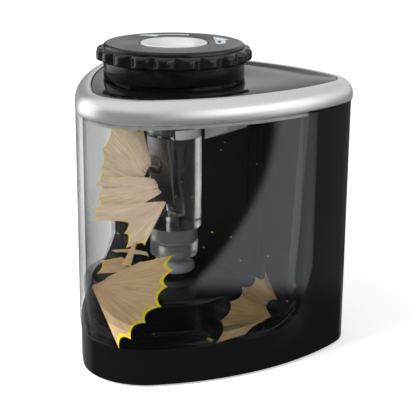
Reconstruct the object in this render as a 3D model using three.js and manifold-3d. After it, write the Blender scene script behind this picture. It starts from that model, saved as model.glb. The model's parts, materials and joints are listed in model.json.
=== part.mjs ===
// Upright battery pencil sharpener, in millimetres, +Z up.
// The origin is under the middle of the case, on the plane that it stands on. The bin is at the front, -Y.
// A clear wrap-round bin closes the front half, and a black rear half holds the motor and two AA cells.
// The cutter hangs from a scalloped twist knob and is driven from below by a gear train in the base.
import * as THREE from 'three';
import { mergeVertices } from 'three/addons/utils/BufferGeometryUtils.js';
import Module from 'manifold-3d';

const wasm = await Module();
wasm.setup();

// ---- Driving dimensions ----
const GAP = 0.3;                       // clearance between neighbouring pieces

// Plan of the case: three round corners joined by three shallow arcs, counter-clockwise from the front.
const CORNERS = [
  { x: 7.02, y: -21.35, r: 18.57 },    // front
  { x: 26.57, y: 24.28, r: 13.48 },    // rear right
  { x: -21.72, y: 12.78, r: 18.57 },   // rear left
];
const SIDE_RADII = [80.5, 80.5, 123.6];

const HEAD = { x: -2.45, y: -0.15 };   // axis of the knob, cutter and output gear
const PARTING_Y = 13.0;                // plane where the bin meets the rear half

// Heights
const FOOT = 0.6;                      // rubber feet below the case
const BASE_TOP = 11;                   // ledge that the bin stands on
const CASE_TOP = 73.5;
const RIM_BOTTOM = 73.8;
const RIM_TOP = 79.75;
const DECK_TOP = 79.4;
const PEDESTAL_TOP = 19.5;

// Walls
const CASE_WALL = 2;
const BIN_WALL = 1.6;
const RIM_INSET = 4.08;                // inner edge of the silver rim, in from the case wall
const RIM_BULGE = 0.45;

// Knob
const KNOB_LOBES = 20;
const KNOB_R = 22.5;
const SKIRT_R = 20.34;
const SKIRT_BOTTOM = 79.75;
const FLANGE_BOTTOM = 84.6;
const FLANGE_TOP = 88.7;
const KNOB_TOP = 89.4;
const DISC_R = 20.6;
const FUNNEL_R = 9.7;
const PENCIL_R = 4;                    // for a 7 to 8 mm pencil

// Cutter
const CARRIER_R = 8.2;
const CARRIER_BOTTOM = 34.6;
const CARRIER_TOP = 73.4;
const CARRIER_FLANGE = 71.8;
const CUP_R = 7.2;
const CUP_BOTTOM = 25.4;
const PRESS_TRAVEL = 1.2;              // the cutter sinks this far under the pencil

// Gear train
const MODULE = 0.75;
const TEETH = { pinion: 8, wheel: 24, small: 8, output: 24 };
const MOTOR = { x: 19, y: 24.5 };
const pitchR = (teeth) => teeth * MODULE / 2;

// AA cells, upright behind the bin
const CELL_R = 7.15;
const CELLS = [{ x: -20, y: 22.6 }, { x: -4.9, y: 23.6 }];
const CELL_BOTTOM = 20.4;
const CELL_LENGTH = 49.2;

// ---- Colours ----
const finish = (color, roughness, metalness = 0, opacity = 1) => new THREE.MeshStandardMaterial({
  color, roughness, metalness, opacity, transparent: opacity < 1,
});
const glossBlack = finish(0x141816, 0.12);
const satinBlack = finish(0x1b1e1d, 0.45);
const silver = finish(0xd4d5d7, 0.35, 0.7);
const smokyClear = finish(0x8a9296, 0.05, 0, 0.3);
const clear = finish(0xe6eceb, 0.08, 0, 0.35);
const lightGrey = finish(0xb9bdbb, 0.5);
const whiteNylon = finish(0xe8e9e4, 0.5);
const greyNylon = finish(0x9fa5a6, 0.45);
const steel = finish(0xaeb0b2, 0.3, 1);
const brass = finish(0xc2a25a, 0.35, 1);
const rubber = finish(0x222222, 0.85);
const cellWrap = finish(0x3f6f8f, 0.4);

// ---- Solids ----
const sharpener = new THREE.Group();

// A three.js geometry as a closed solid that can be joined and cut.
function solid(geometry) {
  const bare = geometry.index ? geometry.clone() : geometry;
  bare.deleteAttribute('normal');
  bare.deleteAttribute('uv');
  const merged = mergeVertices(bare, 1e-4);
  const source = merged.index.array;
  const triangles = [];
  for (let i = 0; i < source.length; i += 3) {
    const [a, b, c] = [source[i], source[i + 1], source[i + 2]];
    if (a !== b && b !== c && c !== a) triangles.push(a, b, c);
  }
  const build = (indices) => new wasm.Manifold(new wasm.Mesh({
    numProp: 3,
    vertProperties: new Float32Array(merged.attributes.position.array),
    triVerts: new Uint32Array(indices),
  }));
  const made = build(triangles);
  if (made.volume() >= 0) return made;
  return build(triangles.reverse());
}

function addPart(name, shape, material) {
  const { vertProperties, triVerts } = shape.getMesh();
  const geometry = new THREE.BufferGeometry();
  geometry.setAttribute('position', new THREE.BufferAttribute(new Float32Array(vertProperties), 3));
  geometry.setIndex(new THREE.BufferAttribute(new Uint32Array(triVerts), 1));
  geometry.computeVertexNormals();
  const mesh = new THREE.Mesh(geometry, material);
  mesh.name = name;
  sharpener.add(mesh);
  return mesh;
}

// Points of the case outline, moved in by inset.
function casePlan(inset = 0, cornerSteps = 6, sideSteps = 4) {
  const corners = CORNERS.map(({ x, y, r }) => ({ x, y, r: r - inset }));
  const sides = corners.map((from, i) => {
    const to = corners[(i + 1) % 3];
    const radius = SIDE_RADII[i] - inset;
    const [dx, dy] = [to.x - from.x, to.y - from.y];
    const span = Math.hypot(dx, dy);
    const [near, far] = [radius - from.r, radius - to.r];
    const along = (span * span + near * near - far * far) / (2 * span);
    const off = Math.sqrt(near * near - along * along);
    return {
      x: from.x + (dx * along - dy * off) / span,
      y: from.y + (dy * along + dx * off) / span,
      r: radius,
    };
  });
  const points = [];
  const sweep = (centre, start, end, steps) => {
    const turn = end < start ? end + 2 * Math.PI : end;
    for (let i = 0; i < steps; i += 1) {
      const angle = start + (turn - start) * i / steps;
      points.push(new THREE.Vector2(centre.x + centre.r * Math.cos(angle), centre.y + centre.r * Math.sin(angle)));
    }
  };
  const bearing = (from, to) => Math.atan2(to.y - from.y, to.x - from.x);
  corners.forEach((corner, i) => {
    const before = sides[(i + 2) % 3];
    const after = sides[i];
    const next = corners[(i + 1) % 3];
    sweep(corner, bearing(before, corner), bearing(after, corner), cornerSteps);
    sweep(after, bearing(after, corner), bearing(after, next), sideSteps);
  });
  return points;
}

function prism(points, bottom, top) {
  const geometry = new THREE.ExtrudeGeometry(new THREE.Shape(points), {
    depth: top - bottom, bevelEnabled: false,
  });
  return solid(geometry.translate(0, 0, bottom));
}

function box(x0, y0, z0, x1, y1, z1) {
  const geometry = new THREE.BoxGeometry(x1 - x0, y1 - y0, z1 - z0);
  return solid(geometry.translate((x0 + x1) / 2, (y0 + y1) / 2, (z0 + z1) / 2));
}

// Round piece about an upright axis, from [radius, height] pairs that start and end on the axis.
function turned(profile, centre = HEAD, segments = 24) {
  const points = profile.map(([r, z]) => new THREE.Vector2(r, z));
  const geometry = new THREE.LatheGeometry(points, segments).rotateX(Math.PI / 2);
  return solid(geometry.translate(centre.x, centre.y, 0));
}

function cylinder(r, bottom, top, centre = HEAD, segments = 24) {
  return turned([[0, bottom], [r, bottom], [r, top], [0, top]], centre, segments);
}

// Ring that follows the case outline, from [inset, height] pairs that close on themselves.
function caseRing(section) {
  const rings = section.map(([inset, z]) => casePlan(inset).map(({ x, y }) => [x, y, z]));
  const count = rings[0].length;
  const index = [];
  rings.forEach((_, i) => {
    const other = (i + 1) % rings.length;
    for (let j = 0; j < count; j += 1) {
      const k = (j + 1) % count;
      const [a, b, c, d] = [i * count + j, i * count + k, other * count + k, other * count + j];
      index.push(a, b, c, a, c, d);
    }
  });
  const geometry = new THREE.BufferGeometry();
  geometry.setAttribute('position', new THREE.Float32BufferAttribute(rings.flat(2), 3));
  geometry.setIndex(index);
  return solid(geometry);
}

// Everything in front of the parting plane and above a floor that curves up at the back.
// Above the curve it goes on back to openTo.
function binSpace(y, floor, cornerR, openTo = y) {
  const reach = 60;
  const shape = new THREE.Shape();
  shape.moveTo(-reach, floor);
  shape.lineTo(y - cornerR, floor);
  shape.absarc(y - cornerR, floor + cornerR, cornerR, -Math.PI / 2, 0, false);
  if (openTo > y) shape.lineTo(openTo, floor + cornerR);
  shape.lineTo(openTo, 2 * reach);
  shape.lineTo(-reach, 2 * reach);
  shape.closePath();
  const geometry = new THREE.ExtrudeGeometry(shape, {
    depth: 2 * reach, bevelEnabled: false, curveSegments: 6,
  });
  // The shape is drawn in Y and Z: turn it so that it is extruded along X.
  const turn = new THREE.Matrix4().makeBasis(
    new THREE.Vector3(0, 1, 0), new THREE.Vector3(0, 0, 1), new THREE.Vector3(1, 0, 0),
  );
  return solid(geometry.applyMatrix4(turn).translate(-reach, 0, 0));
}

// Upright slab with round ends that reaches from the head axis back towards the rear.
function archPlan(r, back) {
  const shape = new THREE.Shape();
  shape.moveTo(HEAD.x + r, back);
  shape.lineTo(HEAD.x - r, back);
  shape.lineTo(HEAD.x - r, HEAD.y);
  shape.absarc(HEAD.x, HEAD.y, r, Math.PI, 2 * Math.PI, false);
  return shape.getPoints(12);
}

const arch = (r, back, bottom, top) => prism(archPlan(r, back), bottom, top);

// ---- Case ----
const WINDOW_CORNER_R = 17;
const PEDESTAL_R = 25;
const PEDESTAL_WALL = 1.6;
const LEDGE = 1.6;

// Battery door frame: it faces along the normal of the rear wall behind the cells.
const DOOR = { x: -13, y: 24, width: 33, bottom: 18, top: 70, cornerR: 3, bearing: THREE.MathUtils.degToRad(108) };

function doorBlock(grow) {
  const [w, z0, z1] = [DOOR.width / 2 + grow, DOOR.bottom - grow, DOOR.top + grow];
  const r = DOOR.cornerR + grow;
  const shape = new THREE.Shape();
  shape.absarc(w - r, z0 + r, r, -Math.PI / 2, 0, false);
  shape.absarc(w - r, z1 - r, r, 0, Math.PI / 2, false);
  shape.absarc(r - w, z1 - r, r, Math.PI / 2, Math.PI, false);
  shape.absarc(r - w, z0 + r, r, Math.PI, 1.5 * Math.PI, false);
  const geometry = new THREE.ExtrudeGeometry(shape, { depth: 40, bevelEnabled: false, curveSegments: 4 });
  const out = new THREE.Vector3(Math.cos(DOOR.bearing), Math.sin(DOOR.bearing), 0);
  const up = new THREE.Vector3(0, 0, 1);
  const across = new THREE.Vector3().crossVectors(up, out);
  geometry.applyMatrix4(new THREE.Matrix4().makeBasis(across, up, out));
  return solid(geometry.translate(DOOR.x, DOOR.y, 0));
}

const caseTube = prism(casePlan(0), FOOT, CASE_TOP).subtract(prism(casePlan(CASE_WALL), 0, 80));
const ledge = prism(casePlan(1), BASE_TOP - LEDGE, BASE_TOP)
  .subtract(arch(PEDESTAL_R - 2, 60, 0, 20))
  .subtract(box(-60, PARTING_Y + 3, 0, 60, 60, 20));
const screwSpots = [[7, -31], [-30, 9], [29, 28], [-19, 25]];
const bodyShell = caseTube.add(ledge).subtract(binSpace(PARTING_Y, BASE_TOP, WINDOW_CORNER_R))
  .subtract(doorBlock(GAP));
addPart('body_shell', bodyShell, glossBlack);

let bottomCover = prism(casePlan(CASE_WALL + GAP), 1, 3);
screwSpots.forEach(([x, y]) => {
  bottomCover = bottomCover.subtract(cylinder(1.6, 0, 5, { x, y }, 10)).subtract(cylinder(2.9, 0, 2.2, { x, y }, 16));
});
const footSpots = [[14, -27], [-25, 0.5], [32, 17], [-4, 30]];
footSpots.forEach(([x, y]) => { bottomCover = bottomCover.subtract(cylinder(4.3, 0, 1.8, { x, y }, 16)); });
addPart('bottom_cover', bottomCover, satinBlack);
footSpots.forEach(([x, y], i) => addPart(`foot_${i + 1}`, cylinder(4, 0, 1.5, { x, y }, 16), rubber));
screwSpots.forEach(([x, y], i) => {
  const screw = cylinder(2.5, 1.2, 2, { x, y }, 12).add(cylinder(1.2, 1.9, 8.6, { x, y }, 8))
    .subtract(box(x - 1.6, y - 0.3, 1, x + 1.6, y + 0.3, 1.6));
  addPart(`base_screw_${i + 1}`, screw, steel);
});

// Raised gearbox cover under the cutter, open at the back where the gear train runs to the motor.
const BOSS_R = 5.7;
const gearboxCover = arch(PEDESTAL_R, PARTING_Y - GAP, BASE_TOP + GAP, PEDESTAL_TOP)
  .subtract(arch(PEDESTAL_R - PEDESTAL_WALL, 40, 0, PEDESTAL_TOP - PEDESTAL_WALL))
  .add(cylinder(BOSS_R, PEDESTAL_TOP - PEDESTAL_WALL, PEDESTAL_TOP + 0.8))
  .subtract(cylinder(2.4, 0, 30, HEAD, 24));
addPart('gearbox_cover', gearboxCover, glossBlack);

// Upright wall between the bin and the motor and battery chamber.
const WALL_BACK = PARTING_Y + 1.6;
const chamberWall = prism(casePlan(CASE_WALL + GAP), BASE_TOP + GAP, CASE_TOP - 2)
  .intersect(box(-60, PARTING_Y, 0, 60, WALL_BACK, 90))
  .subtract(arch(PEDESTAL_R + GAP, 60, 0, PEDESTAL_TOP + GAP));
addPart('chamber_wall', chamberWall, glossBlack);

// ---- Top ----
const RIM_INNER = 1.6;
addPart('rim_bezel', caseRing([
  [0, RIM_BOTTOM], [-RIM_BULGE, RIM_BOTTOM + 0.8], [-RIM_BULGE, 75.9], [0.1, 77.3], [1.1, 78.6],
  [2.5, 79.5], [RIM_INSET, RIM_TOP], [RIM_INSET, 78.4], [2.8, 78.1], [RIM_INNER, 76.9], [RIM_INNER, RIM_BOTTOM],
]), silver);

const RING_R = 18;
const RING_BORE = 14.2;
const topDeck = prism(casePlan(RIM_INSET + GAP), 77.6, DECK_TOP).subtract(cylinder(RING_R + GAP, 70, 90));
addPart('top_deck', topDeck, glossBlack);

const PLATE_TOP = 73.4;
const PLATE_BOTTOM = 71.9;
const postSpots = [[24, 29], [-30, 14], [10, -32]];
let mechanismPlate = prism(casePlan(CASE_WALL + 0.4), PLATE_BOTTOM, PLATE_TOP)
  .subtract(cylinder(11.2, 70, 80));
postSpots.forEach(([x, y]) => {
  mechanismPlate = mechanismPlate.add(cylinder(3, PLATE_BOTTOM + 0.5, 77.3, { x, y }, 16));
});
addPart('mechanism_plate', mechanismPlate, lightGrey);

// Fixed ring that the knob turns on, with three stop slots that are open at the top.
const SLOT_DEG = 46;
const KEY_DEG = 15;
const sector = (r0, r1, z0, z1, startDeg, sweepDeg) => {
  const [a0, a1] = [startDeg, startDeg + sweepDeg].map(THREE.MathUtils.degToRad);
  const shape = new THREE.Shape();
  shape.absarc(HEAD.x, HEAD.y, r1, a0, a1, false);
  shape.absarc(HEAD.x, HEAD.y, r0, a1, a0, true);
  return prism(shape.getPoints(6), z0, z1);
};
const slotStarts = [20, 140, 260];
let lockRing = turned([[0, PLATE_TOP + GAP], [RING_R, PLATE_TOP + GAP], [RING_R, 84.6], [0, 84.6]])
  .subtract(cylinder(RING_BORE, 70, 90));
slotStarts.forEach((start) => { lockRing = lockRing.subtract(sector(16.6, 19, 79.8, 90, start, SLOT_DEG)); });
addPart('lock_ring', lockRing, satinBlack);

// ---- Knob and funnel ----
function lobedPlan(lobes, r, depth, stepsPerLobe) {
  const points = [];
  for (let i = 0; i < lobes * stepsPerLobe; i += 1) {
    const angle = 2 * Math.PI * i / (lobes * stepsPerLobe);
    const radius = r - depth * ((1 - Math.cos(lobes * angle)) / 2) ** 1.5;
    points.push(new THREE.Vector2(HEAD.x + radius * Math.cos(angle), HEAD.y + radius * Math.sin(angle)));
  }
  return points;
}

const LOBE_DEPTH = 1.5;
const SKIRT_BORE = 18.7;
const FUNNEL_BORE = 10;
let knob = prism(lobedPlan(KNOB_LOBES, KNOB_R, LOBE_DEPTH, 4), FLANGE_BOTTOM, FLANGE_TOP)
  .add(turned([[0, SKIRT_BOTTOM], [SKIRT_R, SKIRT_BOTTOM], [SKIRT_R, FLANGE_BOTTOM + 0.2],
    [DISC_R, FLANGE_TOP - 0.2], [DISC_R, FLANGE_TOP + 0.1], [DISC_R - 0.7, KNOB_TOP - 0.1],
    [DISC_R - 2, KNOB_TOP], [0, KNOB_TOP]], HEAD, 40))
  .subtract(cylinder(SKIRT_BORE, 70, 86.8))
  .subtract(cylinder(FUNNEL_BORE, 70, 95));
slotStarts.forEach((start) => { knob = knob.add(sector(17, 19.4, 80.4, 82.6, start + 1, KEY_DEG)); });
addPart('knob', knob, satinBlack);

const FUNNEL_TUBE_R = 5.4;
addPart('funnel_insert', turned([
  [PENCIL_R, 77.6], [FUNNEL_TUBE_R, 77.6], [FUNNEL_TUBE_R, 86.2], [FUNNEL_R, 87.6], [FUNNEL_R, 89.2],
  [8.9, 89.4], [7.2, 88.2], [5.4, 86.4], [PENCIL_R, 84], [PENCIL_R, 77.6],
]), silver);

// ---- Cutter head: it lifts out with the knob ----
addPart('bearing_sleeve', turned([
  [FUNNEL_TUBE_R + GAP, 76.2], [13.8, 76.2], [13.8, 84.4], [11, 86.2], [8.4, 86.2], [FUNNEL_TUBE_R + GAP, 84.6],
  [FUNNEL_TUBE_R + GAP, 76.2],
]), whiteNylon);
addPart('thrust_washer', turned([[5, 73.8], [10, 73.8], [10, 74.7], [5, 74.7], [5, 73.8]]), steel);

// Clear carrier: a round bar with a conical pencil bore and a sloping flat for the blade.
const FLANGE_R = 10.4;
const BUSH_POCKET_R = 6.9;
const CONE_TOP = 63;
const CONE_BOTTOM = 42;
const BLADE_TILT = THREE.MathUtils.degToRad(7);
const BLADE_MID = 54;
const BLADE_OFFSET = 4.9;              // from the axis to the flat, at the middle of the blade

// Block in the blade's own frame: across, out from the axis, up.
function bladeBlock(halfWidth, inner, outer, bottom, top) {
  const geometry = new THREE.BoxGeometry(2 * halfWidth, outer - inner, top - bottom);
  geometry.translate(0, -(inner + outer) / 2, (bottom + top) / 2);
  geometry.rotateX(BLADE_TILT);
  return solid(geometry.translate(HEAD.x, HEAD.y - BLADE_OFFSET, BLADE_MID));
}

const BLADE = { half: 4.1, thick: 0.9, low: -12, high: 11.5 };
const carrier = turned([
  [0, CARRIER_BOTTOM], [CARRIER_R, CARRIER_BOTTOM], [CARRIER_R, CARRIER_FLANGE], [FLANGE_R, CARRIER_FLANGE],
  [FLANGE_R, CARRIER_TOP], [0, CARRIER_TOP],
])
  .subtract(turned([[0, CONE_BOTTOM], [0.9, CONE_BOTTOM], [PENCIL_R + 0.2, CONE_TOP + 0.1], [0, CONE_TOP + 0.1]]))
  .subtract(cylinder(BUSH_POCKET_R, CONE_TOP, 80))
  .subtract(cylinder(1.6, 30, CONE_BOTTOM + 3, HEAD, 24))
  .subtract(bladeBlock(9, 0, 8, BLADE.low - 2.5, BLADE.high - 2));
const GUIDE = { bottom: 62.2, top: 67.6, start: -44, sweep: 86 };
addPart('cutter_carrier', carrier.subtract(
  sector(PENCIL_R, CARRIER_R + 1, GUIDE.bottom, GUIDE.top + GAP, GUIDE.start - 2, GUIDE.sweep + 4),
), clear);
addPart('guide_bush', sector(PENCIL_R + GAP, CARRIER_R - 0.2, GUIDE.bottom + 0.1, GUIDE.top, GUIDE.start, GUIDE.sweep),
  whiteNylon);

// Black collar round the carrier's head, clear of the switch and of the lever's tip.
const COLLAR_R = CARRIER_R + 1.1;
addPart('carrier_collar', turned([
  [CARRIER_R + 0.1, 65.3], [COLLAR_R, 65.3], [COLLAR_R, 69.4], [CARRIER_R + 0.1, 69.4], [CARRIER_R + 0.1, 65.3],
], HEAD, 32), satinBlack);

const bladeHole = new THREE.CylinderGeometry(1.7, 1.7, 6, 24).rotateX(BLADE_TILT);
const SCREW_SHIFT = 2.2;               // the screw sits off the middle of the blade, away from its edge
const placeOnBlade = (geometry) => geometry.translate(HEAD.x - SCREW_SHIFT, HEAD.y - BLADE_OFFSET, BLADE_MID);
addPart('blade', bladeBlock(BLADE.half, GAP, GAP + BLADE.thick, BLADE.low, BLADE.high - 3)
  .subtract(solid(placeOnBlade(bladeHole))), steel);
const headProfile = [[0, 0], [2.9, 0], [2.7, 0.8], [1.8, 1.4], [0, 1.6]].map(([r, y]) => new THREE.Vector2(r, y));
const screwHead = new THREE.LatheGeometry(headProfile, 24).rotateX(Math.PI)
  .translate(0, -(2 * GAP + BLADE.thick), 0).rotateX(BLADE_TILT);
const screwShank = new THREE.CylinderGeometry(1.3, 1.3, 1.3, 16).translate(0, -GAP - BLADE.thick / 2 - 0.1, 0)
  .rotateX(BLADE_TILT);
addPart('blade_screw', solid(placeOnBlade(screwHead)).add(solid(placeOnBlade(screwShank))), steel);

const hexPlan = (r) => {
  const points = [];
  for (let i = 0; i < 6; i += 1) {
    const angle = Math.PI * i / 3;
    points.push(new THREE.Vector2(HEAD.x + r * Math.cos(angle), HEAD.y + r * Math.sin(angle)));
  }
  return points;
};
const cup = turned([
  [0, CUP_BOTTOM], [CUP_R - 0.8, CUP_BOTTOM], [CUP_R, CUP_BOTTOM + 0.8], [CUP_R, CARRIER_BOTTOM - GAP],
  [CUP_R - 1.3, CARRIER_BOTTOM - GAP], [CUP_R - 1.3, CUP_BOTTOM + 4.2], [0, CUP_BOTTOM + 4.2],
]).subtract(prism(hexPlan(3.6), CUP_BOTTOM - 1, CUP_BOTTOM + 3));
addPart('cutter_cup', cup, clear);

// ---- Drive ----
function gearPlan(teeth, centre, phase) {
  const pitch = 2 * Math.PI / teeth;
  const [root, tip] = [pitchR(teeth) - 0.75, pitchR(teeth) + 0.5];
  const points = [];
  for (let i = 0; i < teeth; i += 1) {
    [[root, -0.23], [tip, -0.11], [tip, 0.11], [root, 0.23]].forEach(([r, part]) => {
      const angle = phase + pitch * (i + part);
      points.push(new THREE.Vector2(centre.x + r * Math.cos(angle), centre.y + r * Math.sin(angle)));
    });
  }
  return points;
}

const between = (from, to) => Math.atan2(to.y - from.y, to.x - from.x);
const gapPhase = (teeth, direction) => direction + Math.PI / teeth;

// Wheel centres: three meshes bridge the way from the motor to the head axis.
const BOW = THREE.MathUtils.degToRad(-12);
const firstReach = pitchR(TEETH.pinion) + pitchR(TEETH.wheel);
const secondReach = pitchR(TEETH.small) + pitchR(TEETH.wheel);
const thirdReach = pitchR(TEETH.small) + pitchR(TEETH.output);
const firstWay = between(MOTOR, HEAD) + BOW;
const wheel1 = { x: MOTOR.x + firstReach * Math.cos(firstWay), y: MOTOR.y + firstReach * Math.sin(firstWay) };
const rest = Math.hypot(HEAD.x - wheel1.x, HEAD.y - wheel1.y);
const turnIn = Math.acos((secondReach ** 2 + rest ** 2 - thirdReach ** 2) / (2 * secondReach * rest));
const secondWay = between(wheel1, HEAD) + turnIn;
const wheel2 = { x: wheel1.x + secondReach * Math.cos(secondWay), y: wheel1.y + secondReach * Math.sin(secondWay) };

const AXLE_R = 0.9;
const LAYERS = { low: [4.2, 6.8], mid: [7.6, 10.2], high: [11.2, 13.8] };

// Motor shaft and pinion, in the top layer. A tooth of each driver points at its follower's gap.
addPart('motor_pinion', prism(gearPlan(TEETH.pinion, MOTOR, between(MOTOR, wheel1)), ...LAYERS.high)
  .subtract(cylinder(AXLE_R + GAP, 0, 30, MOTOR, 16)), brass);
addPart('motor_shaft', cylinder(AXLE_R, 10.4, 22, MOTOR, 16), steel);

function compoundGear(centre, driver, follower, wheelLayer, smallLayer) {
  const wheelPlan = gearPlan(TEETH.wheel, centre, gapPhase(TEETH.wheel, between(centre, driver)));
  const smallPlan = gearPlan(TEETH.small, centre, between(centre, follower));
  return prism(wheelPlan, ...wheelLayer).add(prism(smallPlan, smallLayer[0], wheelLayer[0] + 0.2))
    .subtract(cylinder(AXLE_R + GAP, 0, 30, centre, 16));
}
addPart('compound_gear_1', compoundGear(wheel1, MOTOR, wheel2, LAYERS.high, LAYERS.mid), whiteNylon);
addPart('compound_gear_2', compoundGear(wheel2, wheel1, HEAD, LAYERS.mid, LAYERS.low), whiteNylon);
addPart('gear_axle_1', cylinder(AXLE_R, 3.3, 15.9, wheel1, 16), steel);
addPart('gear_axle_2', cylinder(AXLE_R, 3.3, 15.9, wheel2, 16), steel);

// Output gear with its own shaft, in a bush, with the nylon drive dog that enters the cutter's cup.
const SHAFT_R = 1.5;
const outputPlan = gearPlan(TEETH.output, HEAD, gapPhase(TEETH.output, between(HEAD, wheel2)));
addPart('output_gear', prism(outputPlan, ...LAYERS.low).subtract(cylinder(SHAFT_R + GAP, 0, 30, HEAD, 20)), whiteNylon);
addPart('output_shaft', cylinder(SHAFT_R, 3.4, CUP_BOTTOM, HEAD, 20), steel);
addPart('output_bush', turned([[SHAFT_R + 0.2, 14.6], [3.6, 14.6], [3.6, 17.5], [2.1, 17.5], [2.1, 20],
  [SHAFT_R + 0.2, 20], [SHAFT_R + 0.2, 14.6]], HEAD, 24), brass);
const DOG_R = 6.2;
const DOG_SHOULDER = CUP_BOTTOM - PRESS_TRAVEL - 0.2;
const DOG_TOP = CUP_BOTTOM + 1.5;
const dog = turned([[0, 20.6], [DOG_R, 20.6], [DOG_R, 22.6], [DOG_R - 1.6, DOG_SHOULDER], [0, DOG_SHOULDER]], HEAD, 32)
  .add(prism(hexPlan(3.1), 23, DOG_TOP)).subtract(cylinder(SHAFT_R + GAP, 0, CUP_BOTTOM + GAP, HEAD, 20));
addPart('drive_dog', dog, greyNylon);

// Gear plate: roof of the gearbox in the rear half, and seat of the motor.
const gearPlate = prism(casePlan(CASE_WALL + GAP), 16.3, 17.8).subtract(box(-60, -60, 0, 60, WALL_BACK + GAP, 90))
  .subtract(cylinder(2, 10, 20, MOTOR, 20));
addPart('gear_plate', gearPlate, lightGrey);

// ---- Motor ----
const motorPlan = (grow = 0) => {
  const [r, flat] = [10 + grow, 7.6 + grow];
  const corner = Math.asin(flat / r);
  const shape = new THREE.Shape();
  shape.absarc(MOTOR.x, MOTOR.y, r, -corner, corner, false);
  shape.absarc(MOTOR.x, MOTOR.y, r, Math.PI - corner, Math.PI + corner, false);
  return shape.getPoints(8);
};
const MOTOR_BOTTOM = 18.1;
const MOTOR_TOP = 43;
addPart('motor_can', prism(motorPlan(), MOTOR_BOTTOM, MOTOR_TOP).subtract(cylinder(2, 0, 24, MOTOR, 20)), steel);
addPart('motor_end_cap', prism(motorPlan(-0.4), MOTOR_TOP + GAP, MOTOR_TOP + 2)
  .add(cylinder(3.4, MOTOR_TOP + 1.5, MOTOR_TOP + 4.2, MOTOR, 24)), whiteNylon);
const bracket = prism(motorPlan(1.5), 28, 34).subtract(prism(motorPlan(GAP), 20, 50));
addPart('motor_bracket', bracket, satinBlack);

// ---- Battery chamber ----
const TRAY_TOP = 19.2;
addPart('battery_tray', prism(casePlan(CASE_WALL + GAP), 18.1, TRAY_TOP)
  .intersect(box(-60, WALL_BACK + GAP, 0, 4.4, 60, 90))
  .add(box(3.4, WALL_BACK + GAP, 18.1, 4.6, 33, 70)), satinBlack);
CELLS.forEach((centre, i) => {
  addPart(`battery_${i + 1}`, turned([[0, CELL_BOTTOM], [CELL_R, CELL_BOTTOM], [CELL_R, CELL_BOTTOM + CELL_LENGTH],
    [2.7, CELL_BOTTOM + CELL_LENGTH], [2.7, CELL_BOTTOM + CELL_LENGTH + 0.9], [0, CELL_BOTTOM + CELL_LENGTH + 0.9],
  ], centre, 24), cellWrap);
  addPart(`contact_spring_${i + 1}`, turned([[0, TRAY_TOP + 0.1], [4.2, TRAY_TOP + 0.1], [2.2, CELL_BOTTOM - 0.2],
    [0, CELL_BOTTOM - 0.2]], centre, 20), steel);
});
const bridgeY = (CELLS[0].y + CELLS[1].y) / 2;
addPart('contact_bridge', box(CELLS[0].x - 4, bridgeY - 4, 70.9, CELLS[1].x + 4, bridgeY + 4, 71.4), brass);

const doorSkin = prism(casePlan(0), 0, 90).subtract(prism(casePlan(CASE_WALL), -1, 91)).intersect(doorBlock(0));
addPart('battery_door', doorSkin, glossBlack);

// ---- Start switch: pressing the pencil moves the cutter down and tips the lever ----
const SWITCH_X = HEAD.x + 9;
const FLANGE_ROOM = CARRIER_FLANGE - PRESS_TRAVEL - GAP;   // the carrier's flange comes down to here over the switch
const wedge = new THREE.Shape([
  [0, 61.7], [8.5, 65.2], [8.5, 71.6], [2, 71.6], [2, FLANGE_ROOM], [0, FLANGE_ROOM],
].map(([x, z]) => new THREE.Vector2(x, z)));
const upright = new THREE.Matrix4().makeBasis(
  new THREE.Vector3(1, 0, 0), new THREE.Vector3(0, 0, 1), new THREE.Vector3(0, -1, 0),
);
const switchBody = solid(new THREE.ExtrudeGeometry(wedge, { depth: 9, bevelEnabled: false })
  .applyMatrix4(upright).translate(SWITCH_X, 12.4, 0));
addPart('start_switch', switchBody, lightGrey);
const LEVER = { pivotX: HEAD.x + 14, z: 70.7 };
const leverHub = new THREE.CylinderGeometry(0.9, 0.9, 3.6, 16).translate(LEVER.pivotX, 1.2, LEVER.z);
addPart('start_lever', box(HEAD.x + 8.8, -1, LEVER.z - 0.5, LEVER.pivotX, 1, LEVER.z + 0.5)
  .add(solid(leverHub)), whiteNylon);

// ---- Bin: clear wall and U-shaped tray that slide forward off the ledge ----
const BIN_BOTTOM = BASE_TOP + GAP;
const BIN_TOP = CASE_TOP - 0.1;
const BIN_PROUD = 0.35;                // the clear wall stands this far outside the base
const TRAY_WALL = 1.2;
const SLOT_R = PEDESTAL_R + 1;
const binOuter = prism(casePlan(-BIN_PROUD), BIN_BOTTOM, BIN_TOP)
  .intersect(binSpace(PARTING_Y - GAP, BIN_BOTTOM, WINDOW_CORNER_R - GAP));
const binHollow = prism(casePlan(BIN_WALL), BIN_BOTTOM, 90)
  .intersect(binSpace(PARTING_Y - GAP - 1.5, BIN_BOTTOM + 1.5, WINDOW_CORNER_R - GAP - 1.5, PARTING_Y + 5));
const trayLip = arch(SLOT_R + TRAY_WALL, 60, BIN_BOTTOM, PEDESTAL_TOP - 1).intersect(binOuter);
addPart('bin_shell', binOuter.subtract(binHollow).add(trayLip).subtract(arch(SLOT_R, 60, 0, 28.6)), smokyClear);

export default sharpener;
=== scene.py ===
"""Upright battery pencil sharpener with a clear wrap-round bin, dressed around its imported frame.

Sizes in the sections are in millimetres and become metres as each mesh is placed.
"""

import math
import random

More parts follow.
